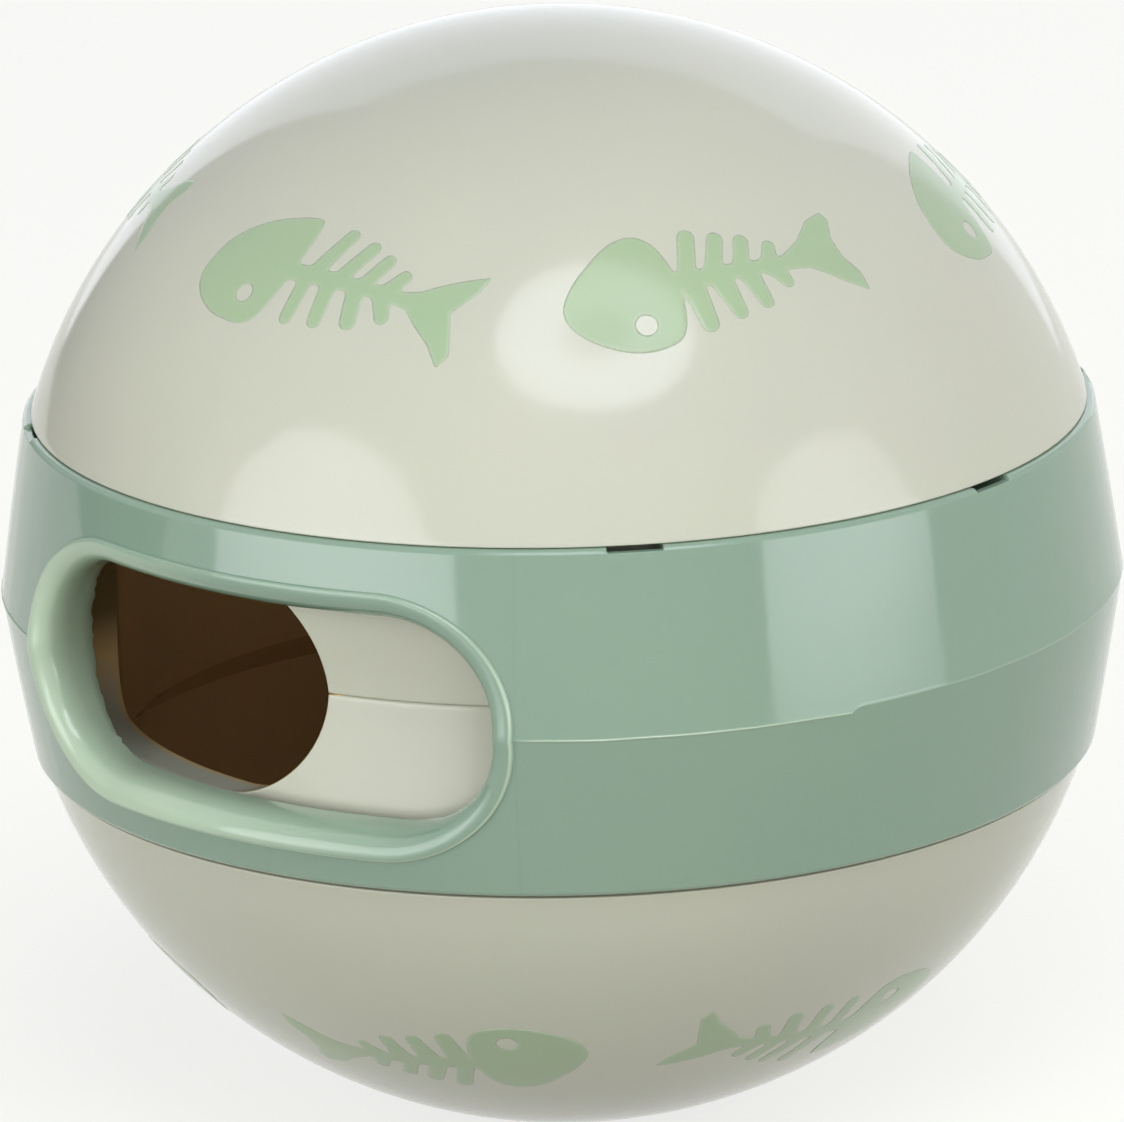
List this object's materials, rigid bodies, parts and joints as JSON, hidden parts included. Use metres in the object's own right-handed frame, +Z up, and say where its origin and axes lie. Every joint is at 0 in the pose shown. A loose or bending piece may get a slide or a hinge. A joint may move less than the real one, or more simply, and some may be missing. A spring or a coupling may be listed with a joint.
{
  "type": "treat dispensing ball",
  "caption": "Hollow rolling ball for pet treats: two snapped half shells with a treat hole and a turning band whose window opens or closes it.",
  "frame": {"origin": "the ball's centre: on its axis, in the middle plane where the two half shells meet", "axes": "+Z up along the ball's axis, round which the band turns; -Y out through the middle of the treat hole; +X to the right when looking into the hole"},
  "size_m": [0.0702, 0.07, 0.0702],
  "materials": {
    "cream_plastic": "glossy moulded",
    "sage_plastic": "glossy moulded",
    "pale_green_plastic": "glossy moulded, flush with the shell"
  },
  "bodies": {
    "lower_shell": {"lower_shell": "cream_plastic", "lower_fish_1": "pale_green_plastic", "lower_fish_2": "pale_green_plastic", "lower_fish_3": "pale_green_plastic", "lower_fish_4": "pale_green_plastic", "lower_fish_5": "pale_green_plastic", "lower_fish_6": "pale_green_plastic"},
    "upper_shell": {"upper_shell": "cream_plastic", "upper_fish_1": "pale_green_plastic", "upper_fish_2": "pale_green_plastic", "upper_fish_3": "pale_green_plastic", "upper_fish_4": "pale_green_plastic", "upper_fish_5": "pale_green_plastic", "upper_fish_6": "pale_green_plastic"},
    "band": {"adjusting_band": "sage_plastic"}
  },
  "joints": [
    {"name": "band_turn", "type": "hinge", "parent": "lower_shell", "child": "band", "pos_m": [0, 0, 0], "axis": [0, 0, 1], "continuous": true},
    {"name": "upper_shell_lift", "type": "slide", "parent": "lower_shell", "child": "upper_shell", "axis": [0, 0, 1], "range_m": [0, 0.03]}
  ]
}
